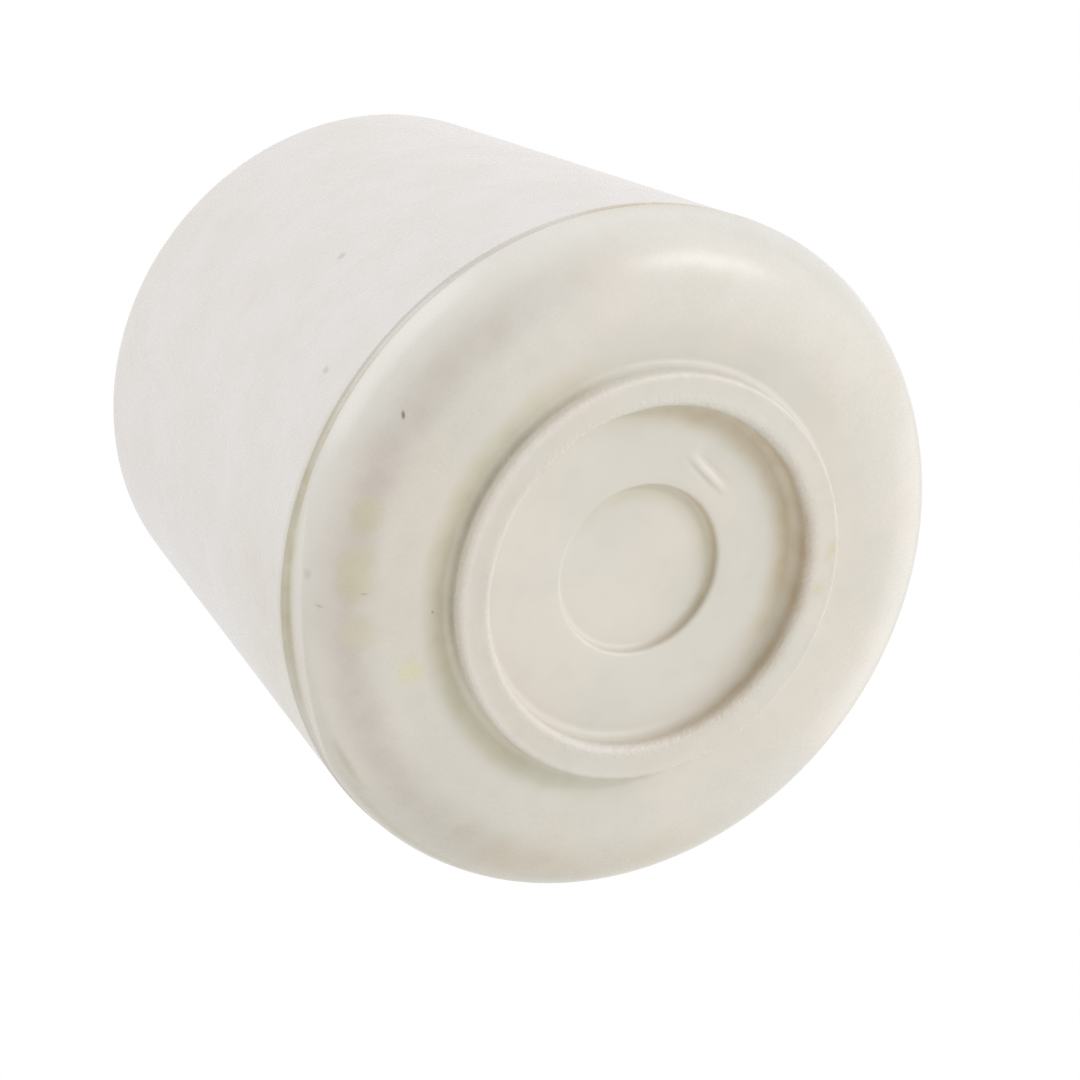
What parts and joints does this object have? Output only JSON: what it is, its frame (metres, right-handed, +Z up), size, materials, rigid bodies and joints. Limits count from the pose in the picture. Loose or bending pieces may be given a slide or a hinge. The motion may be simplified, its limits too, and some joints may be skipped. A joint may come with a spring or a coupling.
{
  "type": "rubber foot",
  "caption": "Tapered off-white rubber foot that pushes over the end of a round furniture leg, with a blind socket on top and a tread ring under a rounded base.",
  "frame": {"origin": "centre of the tread ring's face, at the bottom of the foot", "axes": "+Z up the axis of the foot, from the tread towards the mouth of the socket"},
  "size_m": [0.037, 0.037, 0.0345],
  "materials": {
    "rubber": "satin off-white moulded rubber, slightly dusty"
  },
  "bodies": {
    "root": {"rubber_foot": "rubber"}
  },
  "joints": []
}
